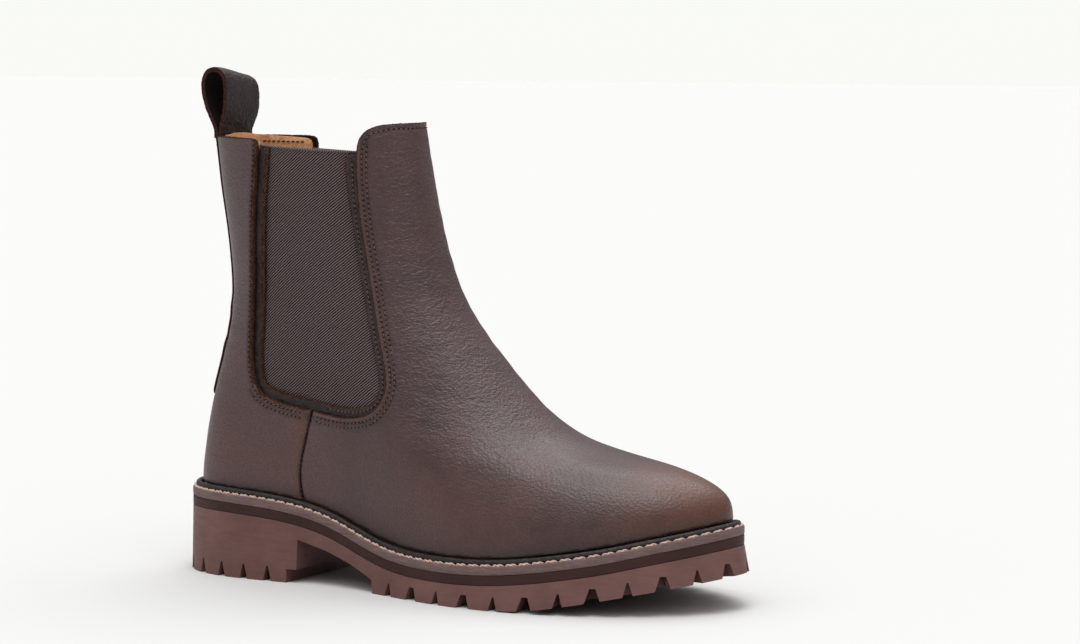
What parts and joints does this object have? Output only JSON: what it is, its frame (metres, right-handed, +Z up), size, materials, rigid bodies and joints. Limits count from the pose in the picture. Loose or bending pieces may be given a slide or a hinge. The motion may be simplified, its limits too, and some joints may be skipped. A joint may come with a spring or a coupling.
{
  "type": "chelsea boot",
  "caption": "Right ankle boot with elastic side gores, a welted lug sole and a pull loop that tilts; the back of the shaft leans back to let a foot in.",
  "frame": {"origin": "middle of the footprint on the ground plane, under the centre of the bounding box", "axes": "+X from heel to toe, +Z up, -Y towards the outer side of the right foot"},
  "size_m": [0.2909, 0.1094, 0.2416],
  "materials": {
    "outsole_rubber": "matte moulded rubber, rosewood brown",
    "midsole_rubber": "matte dark brown rubber",
    "welt_strip": "matte taupe welting",
    "welt_thread": "twisted pale beige thread",
    "cork": "pressed cork",
    "steel": "spring steel strip",
    "board": "insole leather board",
    "foam": "foamed rubber",
    "lining_leather": "smooth tan leather",
    "leather_dark_brown": "pull-up leather, dark brown, pebbled, soft sheen",
    "strap_leather": "darker brown leather with raw edges",
    "facing_leather": "leather strip with raw orange-brown edges",
    "elastic_webbing": "diagonal ribbed elastic webbing, taupe on near black",
    "stiffener": "fibre stiffener"
  },
  "bodies": {
    "foot": {"outsole": "outsole_rubber", "midsole": "midsole_rubber", "welt": "welt_strip", "rand_bead": "welt_strip", "welt_stitching": "welt_thread", "bottom_filler": "cork", "shank": "steel", "insole_board": "board", "footbed_foam": "foam", "sock_liner": "lining_leather", "vamp": "leather_dark_brown", "quarter_lateral": "leather_dark_brown", "quarter_medial": "leather_dark_brown", "backstay_foot": "strap_leather", "gore_facing_lateral": "facing_leather", "gore_facing_medial": "facing_leather", "gore_lateral": "elastic_webbing", "gore_medial": "elastic_webbing", "vamp_lining": "lining_leather", "heel_lining": "lining_leather", "heel_counter": "stiffener", "toe_puff": "stiffener"},
    "shaft_back": {"shaft_quarter_lateral": "leather_dark_brown", "shaft_quarter_medial": "leather_dark_brown", "shaft_lining": "lining_leather", "backstay": "strap_leather", "pull_loop_tail": "strap_leather"},
    "loop": {"pull_loop": "strap_leather"}
  },
  "joints": [
    {"name": "shaft_opening", "type": "hinge", "parent": "foot", "child": "shaft_back", "pos_m": [-0.1235, 0, 0.118], "axis": [0, -1, 0], "range_deg": [0, 8], "stiffness_Nm_per_rad": 2.5, "deforming": ["gore_lateral", "gore_medial", "gore_facing_lateral", "gore_facing_medial"]},
    {"name": "pull_loop_tilt", "type": "hinge", "parent": "shaft_back", "child": "loop", "pos_m": [-0.127, 0, 0.2117], "axis": [0, 1, 0], "range_deg": [-40, 55], "stiffness_Nm_per_rad": 0.02}
  ]
}
